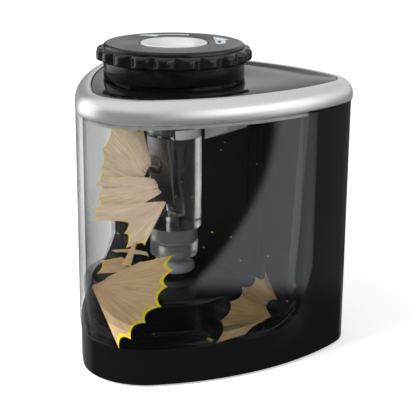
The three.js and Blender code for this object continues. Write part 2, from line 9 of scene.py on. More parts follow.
import bpy
from mathutils import Matrix, Vector
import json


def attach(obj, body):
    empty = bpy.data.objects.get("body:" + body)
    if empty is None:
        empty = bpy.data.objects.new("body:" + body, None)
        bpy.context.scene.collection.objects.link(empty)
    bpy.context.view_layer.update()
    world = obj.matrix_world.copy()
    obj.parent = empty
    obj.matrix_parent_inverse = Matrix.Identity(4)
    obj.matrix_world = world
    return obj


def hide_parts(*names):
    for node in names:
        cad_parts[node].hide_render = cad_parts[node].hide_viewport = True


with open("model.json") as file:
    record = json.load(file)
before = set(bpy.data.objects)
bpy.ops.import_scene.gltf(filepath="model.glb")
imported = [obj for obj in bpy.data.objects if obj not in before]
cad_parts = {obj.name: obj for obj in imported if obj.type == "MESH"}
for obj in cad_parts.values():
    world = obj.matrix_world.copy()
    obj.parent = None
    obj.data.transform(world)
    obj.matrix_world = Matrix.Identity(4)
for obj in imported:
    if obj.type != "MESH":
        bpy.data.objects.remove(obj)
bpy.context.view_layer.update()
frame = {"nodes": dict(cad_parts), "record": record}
scene = bpy.context.scene
MM = 0.001

# ---------------------------------------------------------------------------------------------
# Camera. A long lens a little above the deck looks at the bin from its right front corner. The
# three camera axes also place the shavings further down.
# ---------------------------------------------------------------------------------------------
CAMERA_AZ = math.radians(41.7)
CAMERA_EL = math.radians(16.6)
CAMERA_ROLL = math.radians(0.5)
CAMERA_DISTANCE = 0.35285
CAMERA_TARGET = Vector((0.005344, 0.006407, 0.039796))
CAMERA_LENS = 102.05

back = Vector((math.sin(CAMERA_AZ) * math.cos(CAMERA_EL), -math.cos(CAMERA_AZ) * math.cos(CAMERA_EL),
               math.sin(CAMERA_EL)))
level_right = Vector((math.cos(CAMERA_AZ), math.sin(CAMERA_AZ), 0))
level_up = back.cross(level_right)
right = math.cos(CAMERA_ROLL) * level_right + math.sin(CAMERA_ROLL) * level_up
up = -math.sin(CAMERA_ROLL) * level_right + math.cos(CAMERA_ROLL) * level_up

bpy.ops.object.camera_add()
camera = bpy.context.object
camera.data.lens = CAMERA_LENS
camera.data.clip_start = 0.01
turn = Matrix((right, up, back)).transposed().to_4x4()
camera.matrix_world = Matrix.Translation(CAMERA_TARGET + CAMERA_DISTANCE * back) @ turn
scene.camera = camera
scene.view_settings.view_transform = "Standard"


# ---------------------------------------------------------------------------------------------
# Shader wiring. Arithmetic on a Wire adds Math nodes, and every other node comes from Finish.node.
# A Finish holds one material, or the world, and the few patterns that the finishes share.
# ---------------------------------------------------------------------------------------------
class Wire:
    """One socket of a material or of the world."""

    def __init__(self, finish, socket):
        self.finish = finish
        self.socket = socket

    def math(self, operation, *others):
        values = {0: self, **dict(enumerate(others, 1))}
        return self.finish.node("ShaderNodeMath", {"operation": operation}, values)

    def __add__(self, other):
        return self.math("ADD", other)

    __radd__ = __add__

    def __mul__(self, other):
        return self.math("MULTIPLY", other)

    __rmul__ = __mul__

    def __sub__(self, other):
        return self.math("SUBTRACT", other)

    def __rsub__(self, other):
        return (self * -1) + other

    def __truediv__(self, other):
        return self.math("DIVIDE", other)

    def __pow__(self, other):
        return self.math("POWER", other)

    def step(self, low, high):
        """Smoothly from 0 at low to 1 at high."""
        return self.finish.node("ShaderNodeMapRange", {"interpolation_type": "SMOOTHSTEP"},
                                {"Value": self, "From Min": low, "From Max": high})


class Finish:
    """A node tree with one method that adds and links nodes."""

    def __init__(self, name=None, tree=None):
        if tree is None:
            self.material = bpy.data.materials.new(name)
            self.material.use_nodes = True
            tree = self.material.node_tree
        self.tree = tree
        tree.nodes.clear()

    def node(self, kind, settings=None, values=None, out=0):
        made = self.tree.nodes.new(kind)
        for key, value in (settings or {}).items():
            setattr(made, key, value)
        for key, value in (values or {}).items():
            socket = made.inputs[key]
            if isinstance(value, Wire):
                self.tree.links.new(value.socket, socket)
            else:
                needs_alpha = isinstance(value, tuple) and len(socket.default_value) == 4
                socket.default_value = (*value, 1) if needs_alpha else value
        return Wire(self, made.outputs[out])

    def place(self, scale=(1, 1, 1), centre=(0, 0, 0), coordinates="Object"):
        """Where a point lies on the piece, in millimetres from centre, stretched by scale."""
        spot = self.node("ShaderNodeTexCoord", out=coordinates)
        to_mm = 1 if coordinates == "UV" else 1000
        return self.node("ShaderNodeMapping", {}, {
            "Vector": spot,
            "Location": tuple(-c * s for c, s in zip(centre, scale)),
            "Scale": tuple(s * to_mm for s in scale),
        })

    def noise(self, where, scale, detail=3.0, rough=0.5, out=0):
        return self.node("ShaderNodeTexNoise", {}, {
            "Vector": where, "Scale": scale, "Detail": detail, "Roughness": rough}, out)

    def blend(self, factor, low, high):
        """A colour between low and high."""
        return self.node("ShaderNodeMix", {"data_type": "RGBA"}, {0: factor, 6: low, 7: high}, 2)

    def bump(self, height, strength, distance=0.0001):
        values = {"Height": height, "Strength": strength, "Distance": distance}
        return self.node("ShaderNodeBump", {}, values)

    def skin(self, **sockets):
        """A Principled surface with these sockets, as the material's output."""
        values = {name.replace("_", " "): value for name, value in sockets.items()}
        surface = self.node("ShaderNodeBsdfPrincipled", {}, values)
        output = self.tree.nodes.new("ShaderNodeOutputMaterial")
        self.tree.links.new(surface.socket, output.inputs["Surface"])


# ---------------------------------------------------------------------------------------------
# Studio. A pale sweep, and a room that only the gloss sees: a bright panel to each side, a dim back
# wall, a pale ceiling and a dark middle. The floor isn't mirrored.
# ---------------------------------------------------------------------------------------------
room = bpy.data.worlds.new("room")
room.use_nodes = True
scene.world = room
sky = Finish(tree=room.node_tree)
ray = sky.node("ShaderNodeTexCoord", out="Generated")
axes = sky.tree.nodes.new("ShaderNodeSeparateXYZ")
sky.tree.links.new(ray.socket, axes.inputs[0])
ray_x, ray_y, ray_z = (Wire(sky, axes.outputs[i]) for i in range(3))
bearing = ray_x.math("ARCTAN2", ray_y * -1) * math.degrees(1)
climb = ray_z.math("ARCSINE") * math.degrees(1)
across = bearing.math("ABSOLUTE")

# The low panel's near edge is bowed: 112 degrees round at its top, and further forward at its foot.
drop = (climb + 12.8).math("MINIMUM", 0.0)
near_edge = 112 + 1.09 * drop - 0.545 * drop * drop
bowed = bearing - near_edge
low_panel = (bowed.step(-3, 3) * (1 - 0.9 * bearing.step(130, 134))
             * climb.step(-20.9, -19.9) * (1 - climb.step(-9, -7)) * 1.0)
below_ceiling = 1 - climb.step(28, 45)
right_panel = bearing.step(58, 84) * (1 - bearing.step(128, 150)) * climb.step(-7, -2) * below_ceiling
left_panel = (1 - bearing.step(-55, -33)) * bearing.step(-108, -90) * climb.step(-19, -14) * below_ceiling
far_side = across.step(112, 140) * (0.03 + 0.10 * climb.step(-20, -16) + 0.51 * climb.step(-4, 8))
far_side = far_side * (1 - climb.step(30, 50))
low_left = (1 - bearing.step(-85, -60)) * (1 - climb.step(-21, -18)) * 0.22
ceiling = climb.step(20, 48) * 0.62
gloss_light = (0.035 + low_panel).math("MAXIMUM", right_panel * 1.45).math("MAXIMUM", left_panel * 1.2)
gloss_light = gloss_light.math("MAXIMUM", far_side).math("MAXIMUM", low_left).math("MAXIMUM", ceiling)

seen = sky.node("ShaderNodeLightPath", out="Is Camera Ray")
matte = sky.node("ShaderNodeLightPath", out="Is Diffuse Ray")
strength = seen * 0.98 + matte * 0.6 + (1 - seen.math("MAXIMUM", matte)) * gloss_light
background = sky.node("ShaderNodeBackground", {}, {"Color": (1.0, 1.0, 1.0), "Strength": strength})
sky.tree.links.new(background.socket, sky.tree.nodes.new("ShaderNodeOutputWorld").inputs["Surface"])

bpy.ops.mesh.primitive_plane_add(size=6)
floor = bpy.context.object
floor.name = "floor"
pale = Finish("pale_sweep")
pale.skin(Base_Color=(0.9, 0.9, 0.9), Roughness=0.9, Specular_IOR_Level=0.0,
          Emission_Color=(1.0, 1.0, 1.0), Emission_Strength=0.5)
floor.data.materials.append(pale.material)
floor.visible_glossy = False


def soft_light(name, place, size, power, aim=(0, 0, 45)):
    """A square lamp that lights matt surfaces and isn't mirrored in the gloss."""
    lamp = bpy.data.lights.new(name, "AREA")
    lamp.size = size * MM
    lamp.energy = power
    held = bpy.data.objects.new(name, lamp)
    scene.collection.objects.link(held)
    spot = Vector(place) * MM
    way = spot - Vector(aim) * MM
    held.matrix_world = Matrix.Translation(spot) @ way.to_track_quat("Z", "Y").to_matrix().to_4x4()
    held.visible_glossy = False


soft_light("key", (-140, -520, 420), 240, 4.0)


# ---------------------------------------------------------------------------------------------
# The case outline: three round corners joined by three shallow arcs. Every ring, wall and plate
# of the case follows it.
# ---------------------------------------------------------------------------------------------
CORNERS = ((7.02, -21.35, 18.57), (26.57, 24.28, 13.48), (-21.72, 12.78, 18.57))
SIDE_RADII = (80.5, 80.5, 123.6)
HEAD = (-2.45, -0.15)
PARTING_Y = 13.0
BASE_TOP = 11.0
CASE_TOP = 73.5
WINDOW_CORNER_R = 17.0


def case_outline(inset=0.0, corner_steps=26, side_steps=18):
    """Points of the outline, counter-clockwise from the front corner, moved in by inset."""
    corners = [(x, y, r - inset) for x, y, r in CORNERS]
    sides = []
    for i, (x, y, r) in enumerate(corners):
        nx, ny, nr = corners[(i + 1) % 3]
        radius = SIDE_RADII[i] - inset
        dx, dy = nx - x, ny - y
        span = math.hypot(dx, dy)
        along = (span ** 2 + (radius - r) ** 2 - (radius - nr) ** 2) / (2 * span)
        off = math.sqrt((radius - r) ** 2 - along ** 2)
        sides.append((x + (dx * along - dy * off) / span, y + (dy * along + dx * off) / span, radius))

    def sweep(centre, start, end, steps):
        end += 2 * math.pi if end < start else 0
        for k in range(steps):
            angle = start + (end - start) * k / steps
            yield centre[0] + centre[2] * math.cos(angle), centre[1] + centre[2] * math.sin(angle)

    def heading(a, b):
        return math.atan2(b[1] - a[1], b[0] - a[0])

    points = []
    for i, corner in enumerate(corners):
        before, after, following = sides[i - 1], sides[i], corners[(i + 1) % 3]
        points += sweep(corner, heading(before, corner), heading(after, corner), corner_steps)
        points += sweep(after, heading(after, corner), heading(after, following), side_steps)
    return points


COLUMNS = len(case_outline())


def only(piece):
    """Leaves this piece alone selected and active."""
    bpy.ops.object.select_all(action="DESELECT")
    piece.select_set(True)
    bpy.context.view_layer.objects.active = piece


def shaped_grid(name, columns, rows, place, closed=True):
    """A grid whose corners run round a piece (u) and along its section (v), then are sewn together."""
    bpy.ops.object.select_all(action="DESELECT")
    bpy.ops.mesh.primitive_grid_add(x_subdivisions=columns, y_subdivisions=rows, size=1)
    piece = bpy.context.object
    piece.name = name
    for vertex in piece.data.vertices:
        u, v = vertex.co.x + 0.5, vertex.co.y + 0.5
        vertex.co = Vector(place(round(u * columns), round(v * rows))) * MM
    if closed:
        sew(piece)
    return piece


def sew(piece):
    """Joins meeting corners and turns every face outwards."""
    only(piece)
    bpy.ops.object.mode_set(mode="EDIT")
    bpy.ops.mesh.select_all(action="SELECT")
    bpy.ops.mesh.remove_doubles(threshold=2e-6)
    bpy.ops.mesh.normals_make_consistent(inside=False)
    bpy.ops.object.mode_set(mode="OBJECT")


def modify(piece, kind, **settings):
    """Adds a modifier and applies it."""
    only(piece)
    change = piece.modifiers.new(kind.lower(), kind)
    for key, value in settings.items():
        setattr(change, key, value)
    bpy.ops.object.modifier_apply(modifier=change.name)


def soften(piece, width, segments=3, angle=35):
    modify(piece, "BEVEL", width=width * MM, segments=segments, limit_method="ANGLE",
           angle_limit=math.radians(angle), miter_outer="MITER_ARC", use_clamp_overlap=True)


def cut(piece, tool, operation="DIFFERENCE"):
    modify(piece, "BOOLEAN", object=tool, operation=operation, solver="EXACT")
    bpy.data.objects.remove(tool)


def dress(piece, finish, body, replaced=(), angle=40):
    """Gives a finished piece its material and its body."""
    piece.data.materials.clear()
    piece.data.materials.append(finish.material)
    only(piece)
    bpy.ops.object.shade_smooth_by_angle(angle=math.radians(angle))
    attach(piece, body)
    if replaced:
        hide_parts(*replaced)


def outline_ring(name, section, outline=case_outline):
    """A closed band that follows the outline; section is [(inset, height), ...] round its profile."""
    rings = {inset: outline(inset) for inset, _ in section}
    count = len(rings[section[0][0]])

    def place(i, j):
        inset, height = section[j % len(section)]
        x, y = rings[inset][i % count]
        return x, y, height

    return shaped_grid(name, count, len(section), place)


def turned(name, profile, steps=96, centre=HEAD, ripple=None):
    """A round piece about an upright axis; profile is [(radius, height), ...]."""
    def place(i, j):
        radius, height = profile[j]
        angle = 2 * math.pi * (i % steps) / steps
        if ripple:
            radius = ripple(radius, angle)
        return centre[0] + radius * math.cos(angle), centre[1] + radius * math.sin(angle), height

    return shaped_grid(name, steps, len(profile) - 1, place)


def arc_points(cx, cz, r, start, end, steps):
    """Points of an arc in a section, angles in degrees."""
    return [(cx + r * math.cos(math.radians(start + (end - start) * k / steps)),
             cz + r * math.sin(math.radians(start + (end - start) * k / steps))) for k in range(steps + 1)]


# ---------------------------------------------------------------------------------------------
# Case shell: glossy black ABS moulding, the base all round and the rear half. Its window opening
# has round lower corners.
# ---------------------------------------------------------------------------------------------
gloss_black = Finish("gloss_black_abs")
spot = gloss_black.place()
smudge = gloss_black.noise(spot, 0.06, 4.0, 0.6)
peel = gloss_black.noise(spot, 0.7, 2.0)
dust = gloss_black.noise(spot, 2.6, 2.0).step(0.72, 0.8)
gloss_black.skin(
    Base_Color=gloss_black.blend(dust * 0.2, (0.0045, 0.0052, 0.0048), (0.06, 0.06, 0.055)),
    Roughness=0.05 + 0.08 * smudge.step(0.35, 0.75) + 0.25 * dust,
    Normal=gloss_black.bump(peel, 0.04, 0.0002),
    IOR=1.5,
)

outer = case_outline(0)
inner = case_outline(2.0)


def window_sill(y, floor, corner_r, edge):
    """Height of the window's lower edge at depth y."""
    into = y - (edge - corner_r)
    return floor + (corner_r - math.sqrt(max(corner_r ** 2 - into ** 2, 0)) if into > 0 else 0)


def insert_edge(points, y):
    """The outline with its two crossings of the plane y moved onto it."""
    moved = list(points)
    for i, (a, b) in enumerate(zip(points, points[1:] + points[:1])):
        if (a[1] - y) * (b[1] - y) < 0:
            near = i if abs(a[1] - y) < abs(b[1] - y) else (i + 1) % len(points)
            share = (y - a[1]) / (b[1] - a[1])
            moved[near] = (a[0] + (b[0] - a[0]) * share, y)
    return moved


edge_outer = insert_edge(outer, PARTING_Y)


def shell_top(i):
    y = edge_outer[i % COLUMNS][1]
    if y > PARTING_Y - 1e-6:
        return CASE_TOP
    return window_sill(y, BASE_TOP, WINDOW_CORNER_R, PARTING_Y)


BASE_BOTTOM = 0.6


def shell_place(i, j):
    x, y = (edge_outer if j in (0, 1, 4) else inner)[i % COLUMNS]
    return x, y, (BASE_BOTTOM, shell_top(i), shell_top(i), BASE_BOTTOM, BASE_BOTTOM)[j]


case_shell = shaped_grid("case_shell", COLUMNS, 4, shell_place)


def plain_block(name, low, high):
    bpy.ops.object.select_all(action="DESELECT")
    size = Vector(high) - Vector(low)
    bpy.ops.mesh.primitive_cube_add(size=1, location=(Vector(low) + size / 2) * MM, scale=size * MM)
    piece = bpy.context.object
    piece.name = name
    bpy.ops.object.transform_apply(location=True, rotation=True, scale=True)
    return piece


DOOR_CENTRE = (-13.0, 24.0)
DOOR_BEARING = math.radians(108)
DOOR_HALF = 16.5
DOOR_LOW, DOOR_HIGH, DOOR_CORNER_R = 18.0, 70.0, 3.0
door_frame = Matrix.Translation(Vector((*DOOR_CENTRE, 0)) * MM) @ Matrix.Rotation(DOOR_BEARING, 4, "Z")


def door_block(grow):
    """The door's own space: it runs outwards along its bearing, with round corners."""
    block = plain_block("door_block", (0, -DOOR_HALF - grow, DOOR_LOW - grow),
                        (40, DOOR_HALF + grow, DOOR_HIGH + grow))
    only(block)
    bpy.ops.object.mode_set(mode="EDIT")
    bpy.ops.mesh.select_all(action="DESELECT")
    bpy.ops.object.mode_set(mode="OBJECT")
    for edge in block.data.edges:
        a, b = (block.data.vertices[i].co for i in edge.vertices)
        edge.select = abs(a.x - b.x) > 0.01
    bpy.ops.object.mode_set(mode="EDIT")
    bpy.ops.mesh.select_mode(type="EDGE")
    bpy.ops.mesh.bevel(offset=(DOOR_CORNER_R + grow) * MM, segments=8)
    bpy.ops.object.mode_set(mode="OBJECT")
    block.data.transform(door_frame)
    return block


cut(case_shell, door_block(0.3))
soften(case_shell, 0.25, 2, 50)
dress(case_shell, gloss_black, "case", ["body_shell"], 15)


def arch_point(x, y, r):
    """The point that faces (x, y) on an arch round the cutter with sides that run straight back."""
    dx, dy = x - HEAD[0], y - HEAD[1]
    if dy > 0:
        return HEAD[0] + math.copysign(r, dx), y
    reach = math.hypot(dx, dy)
    return HEAD[0] + dx * r / reach, HEAD[1] + dy * r / reach


def front_run(points, y):
    """Indices of the outline points in front of the plane y, from the left edge to the right."""
    inside = [i for i, point in enumerate(points) if point[1] < y + 1e-6]
    gap = next((k for k, (a, b) in enumerate(zip(inside, inside[1:])) if b > a + 1), -1)
    return inside[gap + 1:] + inside[:gap + 1]


def strip(name, columns, place, rows):
    """A closed band along part of the outline, with flat ends; place(column, row) gives its corners."""
    piece = shaped_grid(name, len(columns) - 1, rows, lambda i, j: place(columns[i], j % rows))
    only(piece)
    bpy.ops.object.mode_set(mode="EDIT")
    bpy.ops.mesh.select_all(action="DESELECT")
    bpy.ops.mesh.select_mode(type="EDGE")
    bpy.ops.mesh.select_non_manifold()
    bpy.ops.mesh.fill()
    bpy.ops.mesh.select_all(action="SELECT")
    bpy.ops.mesh.normals_make_consistent(inside=False)
    bpy.ops.object.mode_set(mode="OBJECT")
    return piece


LEDGE_BACK = 16.0
ledge_edge = insert_edge(case_outline(1.0), LEDGE_BACK)


def ledge_place(column, j):
    x, y = ledge_edge[column]
    if j in (2, 3):
        x, y = arch_point(x, y, 23.0)
    return x, y, (9.4, BASE_TOP, BASE_TOP, 9.4)[j]


ledge = strip("bin_ledge", front_run(ledge_edge, LEDGE_BACK), ledge_place, 4)
dress(ledge, gloss_black, "case")

# ---------------------------------------------------------------------------------------------
# Battery door: a panel of the same black ABS, flush with the case, with finger ridges moulded near
# its top. It pulls straight off.
# ---------------------------------------------------------------------------------------------
door = outline_ring("battery_panel", [(0.0, 12.0), (0.0, 72.8), (2.0, 72.8), (2.0, 12.0)])
cut(door, door_block(0), "INTERSECT")
soften(door, 0.3, 2, 50)
dress(door, gloss_black, "door", ["battery_door"])

door_out = Vector((math.cos(DOOR_BEARING), math.sin(DOOR_BEARING)))
grip_columns = [i for i, point in enumerate(outer)
                if (Vector(point) - Vector(DOOR_CENTRE)).dot(door_out) > 0
                and abs((Vector(point) - Vector(DOOR_CENTRE)).cross(door_out)) < 8.5]
DOOR_RIDGES = 6
RIDGE_START, RIDGE_PITCH = 55.0, 2.2
for k in range(DOOR_RIDGES):
    foot = RIDGE_START + RIDGE_PITCH * k
    ridge_section = [(0.1, foot), (-0.35, foot + 0.3), (-0.35, foot + 0.8), (0.1, foot + 1.1)]
    ridge_rings = {inset: case_outline(inset) for inset, _ in ridge_section}
    ridge = strip(f"door_ridge_{k + 1}", grip_columns,
                  lambda column, j: (*ridge_rings[ridge_section[j][0]][column], ridge_section[j][1]), 4)
    dress(ridge, gloss_black, "door")

# ---------------------------------------------------------------------------------------------
# Raised gearbox cover with its round boss, in the same black ABS, and the ribs of the matt wall
# that stands behind the cutter.
# ---------------------------------------------------------------------------------------------
PEDESTAL_R = 25.0
PEDESTAL_TOP = 19.5


def arch_outline(inset=0.0):
    """A half circle about the cutter with straight sides running back to the chamber wall."""
    r = PEDESTAL_R - inset
    rear = PARTING_Y - 0.3
    points = [(HEAD[0] + r * math.cos(math.radians(a)), HEAD[1] + r * math.sin(math.radians(a)))
              for a in range(180, 361, 4)]
    return points + [(HEAD[0] + r, rear), (HEAD[0] - r, rear)]


COVER_ROUND = 1.6
cover_edge = [(COVER_ROUND - COVER_ROUND * math.sin(math.radians(a)),
               PEDESTAL_TOP - COVER_ROUND + COVER_ROUND * math.cos(math.radians(a)))
              for a in range(0, 91, 15)]
cover_section = ([(24.9, PEDESTAL_TOP)] + cover_edge
                 + [(0.0, 11.3), (COVER_ROUND, 11.3), (COVER_ROUND, 17.5), (24.9, 17.5)])
cover_rings = [arch_outline(inset) for inset, _ in cover_section]


def cover_place(i, j):
    x, y = cover_rings[j % len(cover_section)][i % len(cover_rings[0])]
    return x, y, cover_section[j % len(cover_section)][1]


gearbox_cover = shaped_grid("raised_floor", len(cover_rings[0]), len(cover_section), cover_place)
dress(gearbox_cover, gloss_black, "case", ["gearbox_cover"])
boss = turned("floor_boss", [(2.4, 19.4), (5.7, 19.4), (5.7, 20.0)] + arc_points(5.3, 19.9, 0.4, 0, 90, 4)
              + [(2.4, 20.3), (2.4, 19.4)], 64)
dress(boss, gloss_black, "case")

matt_black = Finish("matt_black_abs")
grain = matt_black.noise(matt_black.place(), 1.4, 3.0)
matt_black.skin(
    Base_Color=matt_black.blend(grain.step(0.3, 0.8), (0.006, 0.0065, 0.006), (0.010, 0.011, 0.011)),
    Roughness=0.42 + 0.15 * grain, Specular_IOR_Level=0.15, Normal=matt_black.bump(grain, 0.1, 0.0001),
)
CHAMBER_WALL_Y = 13.0
for k, rib_x in enumerate((15.0, 18.4, 20.7)):
    rib = plain_block(f"wall_rib_{k + 1}", (rib_x - 0.4, CHAMBER_WALL_Y - 0.5, 21.5),
                      (rib_x + 0.4, CHAMBER_WALL_Y + 0.2, 71.3))
    soften(rib, 0.2, 2)
    dress(rib, matt_black, "case")

# ---------------------------------------------------------------------------------------------
# Silver rim: an ABS ring with satin silver paint, snapped over the top of the case. Its outside is
# a quarter round that stands a little proud of the wall below.
# ---------------------------------------------------------------------------------------------
silver_paint = Finish("satin_silver_paint")
spot = silver_paint.place()
flake = silver_paint.noise(spot, 5.0, 2.0)
haze = silver_paint.noise(spot, 0.08, 3.0)
silver_paint.skin(
    Base_Color=silver_paint.blend(flake.step(0.35, 0.7), (0.80, 0.81, 0.82), (0.92, 0.93, 0.94)),
    Metallic=0.85,
    Roughness=0.30 + 0.08 * haze,
    Normal=silver_paint.bump(flake, 0.12, 0.0001),
)
rim_section = ([(0.1, 73.8), (-0.3, 74.0), (-0.45, 74.6)]
               + [(3.75 - 4.2 * math.cos(math.radians(a)), 75.4 + 4.35 * math.sin(math.radians(a)))
                  for a in range(0, 91, 9)]
               + [(4.08, 79.6), (4.08, 78.4), (2.8, 78.1), (1.6, 76.9), (1.6, 73.8)])
silver_rim = outline_ring("silver_rim", rim_section)
dress(silver_rim, silver_paint, "case", ["rim_bezel"])

# ---------------------------------------------------------------------------------------------
# Black deck inside the rim, with the round hole for the head. The top is one ring of faces from the
# hole to the rim, so it stays flat.
# ---------------------------------------------------------------------------------------------
DECK_TOP = 79.4
DECK_HOLE_R = 18.3
deck_edge = case_outline(4.3)


def deck_place(i, j):
    ox, oy = deck_edge[i % COLUMNS]
    angle = math.atan2(oy - HEAD[1], ox - HEAD[0])
    share, height = ((0, DECK_TOP), (0.5, DECK_TOP), (1, DECK_TOP), (1, 77.6), (0, 77.6))[j % 5]
    hx, hy = HEAD[0] + DECK_HOLE_R * math.cos(angle), HEAD[1] + DECK_HOLE_R * math.sin(angle)
    return hx + (ox - hx) * share, hy + (oy - hy) * share, height


deck = shaped_grid("black_deck", COLUMNS, 5, deck_place)
soften(deck, 0.2, 2)
dress(deck, gloss_black, "case", ["top_deck"])

# ---------------------------------------------------------------------------------------------
# Twist knob: satin black ABS, a plain skirt, a scalloped flange and a flat disc with a rolled edge.
# ---------------------------------------------------------------------------------------------
satin_black = Finish("satin_black_abs")
spot = satin_black.place()
brushed = satin_black.noise(satin_black.place((1, 1, 0.12)), 2.2, 3.0)
wear = satin_black.noise(spot, 0.25, 4.0, 0.6)
satin_black.skin(
    Base_Color=satin_black.blend(wear.step(0.4, 0.8), (0.005, 0.0055, 0.0055), (0.010, 0.011, 0.011)),
    Roughness=0.14 + 0.12 * wear + 0.06 * brushed,
    Normal=satin_black.bump(brushed, 0.08, 0.00006),
)
LOBES = 20
KNOB_R = 22.5
LOBE_ROOT = 20.9
LOBE_DEPTH = 1.5
KNOB_TOP = 89.4


def lobed(radius, angle):
    """Round lobes with narrower hollows between them, only outside the disc."""
    share = max(0.0, min(1.0, (radius - LOBE_ROOT) / (KNOB_R - LOBE_ROOT)))
    return radius - share * LOBE_DEPTH * ((1 - math.cos(LOBES * angle)) / 2) ** 1.5


knob_profile = ([(18.7, 79.75), (20.2, 79.75), (20.34, 79.9), (20.34, 84.5), (20.9, 84.6)]
                + arc_points(21.6, 85.6, 0.9, -90, 0, 6) + arc_points(21.3, 86.9, 1.2, 0, 62, 7)
                + [(21.2, 88.15), (20.7, 88.25), (20.35, 88.3)]
                + arc_points(19.4, 88.45, 0.95, 0, 90, 7)
                + [(18.6, KNOB_TOP), (18.3, KNOB_TOP - 0.06), (10.3, KNOB_TOP - 0.06), (10.0, 89.2),
                   (10.0, 86.8), (18.7, 86.8), (18.7, 79.75)])
knob = turned("twist_knob", knob_profile, 360, ripple=lobed)
dress(knob, satin_black, "knob", ["knob"], 50)

# ---------------------------------------------------------------------------------------------
# Direction marks on the knob: two plain arrows in pale ink, one each way round the mouth. Each
# station gives a bearing in degrees and the mark's inner and outer radius there.
# ---------------------------------------------------------------------------------------------
pale_ink = Finish("pale_ink")
pale_ink.skin(Base_Color=(0.62, 0.68, 0.74),
              Roughness=0.4 + 0.2 * pale_ink.noise(pale_ink.place(), 2.0, 2.0))
MARKS = {
    "mark_back": [(116, 14.5, 15.6), (151, 14.4, 15.3), (151.5, 14.4, 15.3), (158, 12.4, 16.4),
                  (171, 16.6, 17.2)],
    "mark_right": [(30, 12.4, 13.6), (36, 13.4, 14.8), (58, 14.0, 15.2), (60, 12.8, 16.6),
                   (84, 15.3, 15.9)],
}
MARK_STEPS = 8
for name, stations in MARKS.items():
    def mark_place(i, j):
        k = min(i // MARK_STEPS, len(stations) - 2)
        share = i / MARK_STEPS - k
        angle, low, high = (a + (b - a) * share for a, b in zip(stations[k], stations[k + 1]))
        radius = low if j in (0, 3) else high
        height = KNOB_TOP - 0.1 if j < 2 else KNOB_TOP + 0.01
        angle = math.radians(angle)
        return HEAD[0] + radius * math.cos(angle), HEAD[1] + radius * math.sin(angle), height

    mark = strip(name, list(range(MARK_STEPS * (len(stations) - 1) + 1)), mark_place, 4)
    dress(mark, pale_ink, "knob")

# ---------------------------------------------------------------------------------------------
# Funnel: a silver insert that guides the pencil into the hole. It rolls over at the lip and narrows
# to the size of a pencil.
# ---------------------------------------------------------------------------------------------
spun_silver = Finish("spun_silver")
rings = spun_silver.noise(spun_silver.place((0.2, 0.2, 9), (*HEAD, 0)), 1.0, 3.0)
spun_silver.skin(Base_Color=spun_silver.blend(rings.step(0.3, 0.7), (0.84, 0.84, 0.83), (0.95, 0.95, 0.94)),
                 Metallic=0.6, Roughness=0.36 + 0.08 * rings,
                 Normal=spun_silver.bump(rings, 0.1, 0.00008))
funnel_profile = ([(4.0, 77.6), (5.4, 77.6), (5.4, 86.2), (9.7, 87.6), (9.7, 89.2)]
                  + arc_points(9.3, 89.1, 0.4, 0, 90, 4)
                  + [(8.8, 89.45), (8.2, 89.2), (7.4, 88.7), (6.6, 88.0), (5.8, 87.1), (5.1, 86.0),
                     (4.5, 84.7), (4.1, 83.4), (4.0, 82.0), (4.0, 77.6)])
funnel = turned("pencil_funnel", funnel_profile, 96)
dress(funnel, spun_silver, "knob", ["funnel_insert"], 50)

# ---------------------------------------------------------------------------------------------
# Cutter: a clear carrier with a conical bore and a sloping flat, the blade on the flat, and a
# clear cup below that takes the drive.
# ---------------------------------------------------------------------------------------------
clear_plastic = Finish("clear_plastic")
spot = clear_plastic.place()
clear_plastic.skin(
    Base_Color=(0.84, 0.86, 0.84),
    Roughness=0.16 + 0.12 * clear_plastic.noise(spot, 0.5, 3.0).step(0.5, 0.8),
    Transmission_Weight=1.0, IOR=1.46,
    Normal=clear_plastic.bump(clear_plastic.noise(spot, 0.3, 2.0), 0.05, 0.0003),
)
frosted_plastic = Finish("frosted_plastic")
frost = frosted_plastic.noise(frosted_plastic.place(), 1.2, 2.0)
frosted_plastic.skin(Base_Color=(0.86, 0.90, 0.89), Roughness=0.25, Transmission_Weight=0.85, IOR=1.46,
                     Normal=frosted_plastic.bump(frost, 0.1, 0.0002))
CONE_TOP = 63.0
carrier = turned("clear_carrier",
                 [(1.6, 34.6), (7.9, 34.6), (8.2, 34.9), (8.2, 71.8), (10.4, 71.8), (10.4, 73.4),
                  (6.9, 73.4), (6.9, CONE_TOP), (4.2, CONE_TOP), (1.6, 45.9), (1.6, 34.6)], 72)
BLADE_TILT = math.radians(7)
BLADE_OFFSET = 4.9
BLADE_MID = 54.0


def on_flat(piece):
    """Moves a piece from the blade's own frame, out along -Y, onto the carrier's flat."""
    lean = Matrix.Rotation(BLADE_TILT, 4, "X")
    middle = Vector((HEAD[0], HEAD[1] - BLADE_OFFSET, BLADE_MID)) * MM
    piece.data.transform(Matrix.Translation(middle) @ lean)


flat_tool = plain_block("flat_tool", (-9, -8, -14.5), (9, 0, 9.5))
on_flat(flat_tool)
cut(carrier, flat_tool)
GUIDE_LOW, GUIDE_HIGH, GUIDE_START, GUIDE_SWEEP = 62.2, 67.6, -44.0, 86.0


def sector(name, low_r, high_r, bottom, top, start, sweep):
    """A block bounded by two arcs about the cutter."""
    def place(i, j):
        angle = math.radians(start + sweep * i / 24)
        radius = (low_r, high_r, high_r, low_r)[j]
        return (HEAD[0] + radius * math.cos(angle), HEAD[1] + radius * math.sin(angle),
                (bottom, bottom, top, top)[j])

    return strip(name, list(range(25)), place, 4)


cut(carrier, sector("guide_window", 4.0, 9.2, GUIDE_LOW, GUIDE_HIGH + 0.3,
                    GUIDE_START - 2, GUIDE_SWEEP + 4))
dress(carrier, clear_plastic, "cutter", ["cutter_carrier"], 30)

